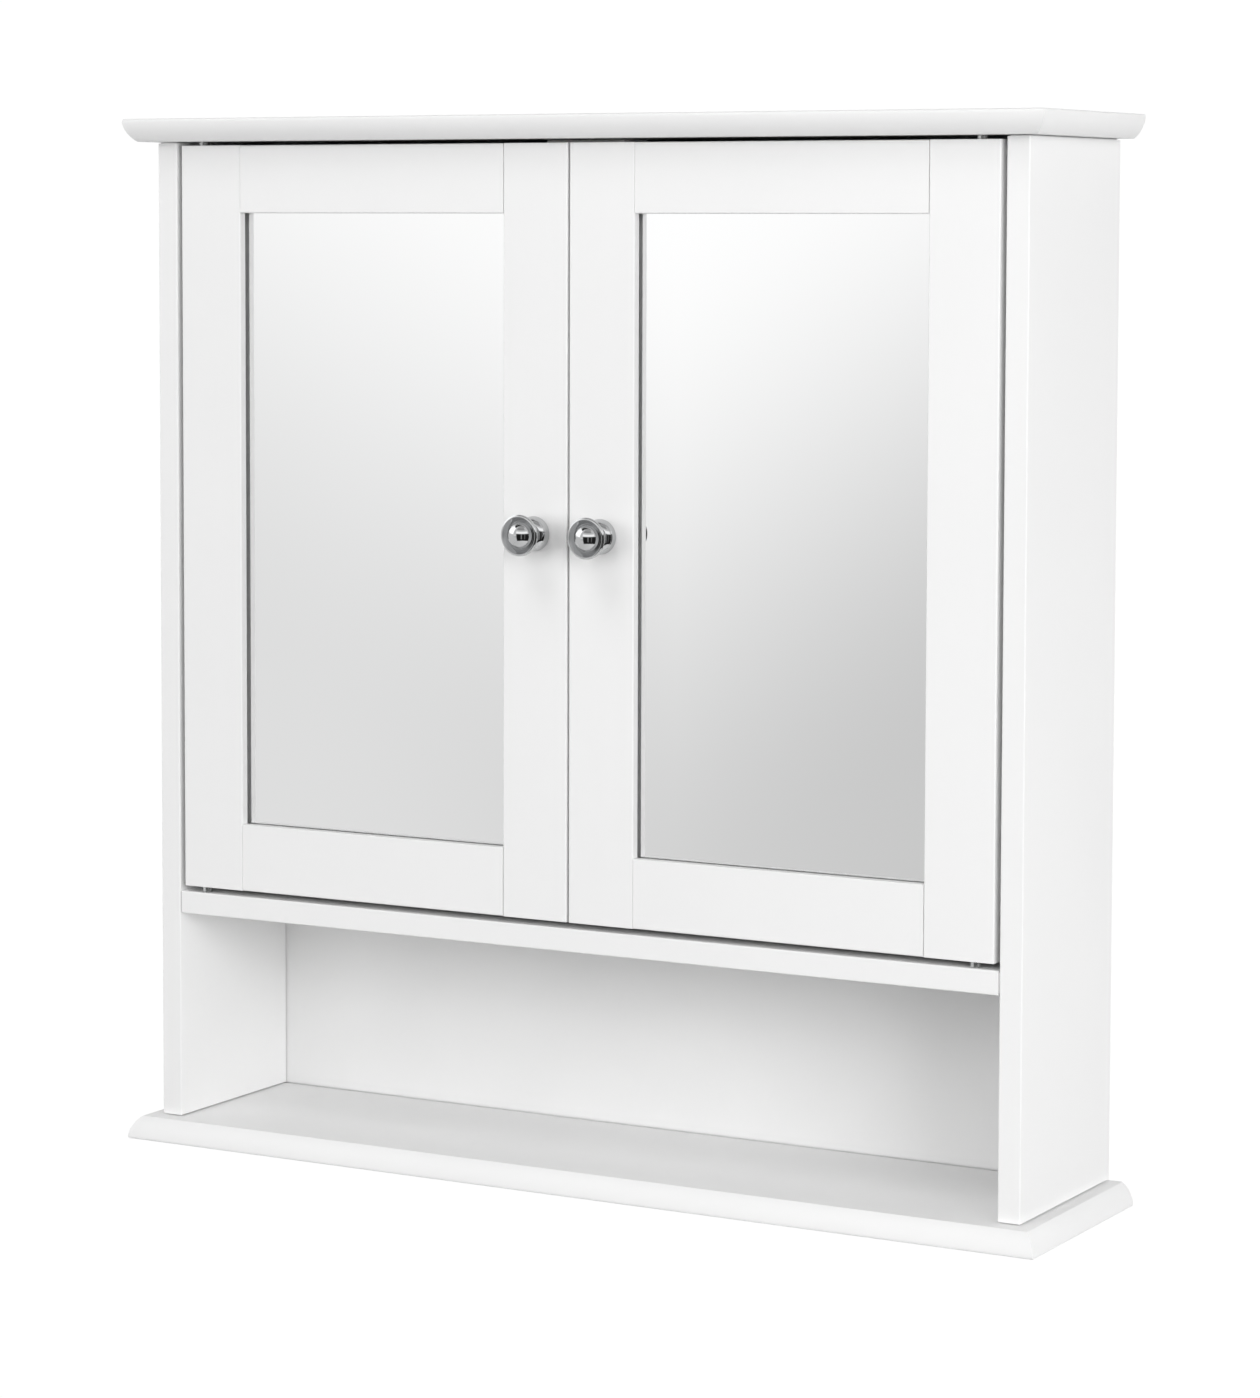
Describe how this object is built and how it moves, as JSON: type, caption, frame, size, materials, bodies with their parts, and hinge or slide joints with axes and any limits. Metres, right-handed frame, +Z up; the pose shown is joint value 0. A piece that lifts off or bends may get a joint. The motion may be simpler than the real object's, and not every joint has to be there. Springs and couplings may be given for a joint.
{
  "type": "hanging wall cabinet",
  "caption": "White hanging wall cabinet with framed mirror doors on pivot pins, chrome knobs, moulded top and bottom boards, an inner shelf and an open niche below the doors.",
  "frame": {"origin": "on the wall plane, at the middle of the top board's rear edge", "axes": "+X right for someone facing the doors, +Y into the wall, +Z up"},
  "size_m": [0.56, 0.1382, 0.578],
  "materials": {
    "paint": "fine fibreboard sprayed with satin white paint",
    "hardboard": "thin hardboard, white on its visible side",
    "mirror": "silvered float glass",
    "chrome": "polished chrome plate",
    "steel": "zinc plated steel",
    "plastic": "moulded white plastic",
    "magnet": "dark sintered ferrite"
  },
  "bodies": {
    "cabinet": {"top_board": "paint", "bottom_board": "paint", "left_side_panel": "paint", "right_side_panel": "paint", "fixed_shelf": "paint", "back_panel": "hardboard", "adjustable_shelf": "paint", "top_screw_left_front": "steel", "bottom_screw_left_front": "steel", "shelf_cam_left_front": "steel", "cam_post_left_front": "steel", "shelf_pin_left_front": "steel", "top_screw_left_rear": "steel", "bottom_screw_left_rear": "steel", "shelf_cam_left_rear": "steel", "cam_post_left_rear": "steel", "shelf_pin_left_rear": "steel", "top_screw_right_front": "steel", "bottom_screw_right_front": "steel", "shelf_cam_right_front": "steel", "cam_post_right_front": "steel", "shelf_pin_right_front": "steel", "top_screw_right_rear": "steel", "bottom_screw_right_rear": "steel", "shelf_cam_right_rear": "steel", "cam_post_right_rear": "steel", "shelf_pin_right_rear": "steel", "hanger_plate_left": "steel", "hanger_screw_left_side": "steel", "hanger_screw_left_top": "steel", "hanger_plate_right": "steel", "hanger_screw_right_side": "steel", "hanger_screw_right_top": "steel", "catch_housing": "plastic", "catch_magnet": "magnet", "catch_screw": "steel"},
    "left_door": {"left_hinge_stile": "paint", "left_meeting_stile": "paint", "left_top_rail": "paint", "left_bottom_rail": "paint", "left_mirror": "mirror", "left_mirror_backing": "hardboard", "left_knob": "chrome", "left_knob_screw": "steel", "left_pivot_pin_top": "steel", "left_pivot_pin_bottom": "steel", "left_strike_plate": "steel", "left_strike_screw": "steel"},
    "right_door": {"right_hinge_stile": "paint", "right_meeting_stile": "paint", "right_top_rail": "paint", "right_bottom_rail": "paint", "right_mirror": "mirror", "right_mirror_backing": "hardboard", "right_knob": "chrome", "right_knob_screw": "steel", "right_pivot_pin_top": "steel", "right_pivot_pin_bottom": "steel", "right_strike_plate": "steel", "right_strike_screw": "steel"}
  },
  "joints": [
    {"name": "left_door_hinge", "type": "hinge", "parent": "cabinet", "child": "left_door", "pos_m": [-0.2378, -0.112, -0.2172], "axis": [0, 0, -1], "range_deg": [0, 135]},
    {"name": "right_door_hinge", "type": "hinge", "parent": "cabinet", "child": "right_door", "pos_m": [0.2378, -0.112, -0.2172], "axis": [0, 0, 1], "range_deg": [0, 135]}
  ]
}
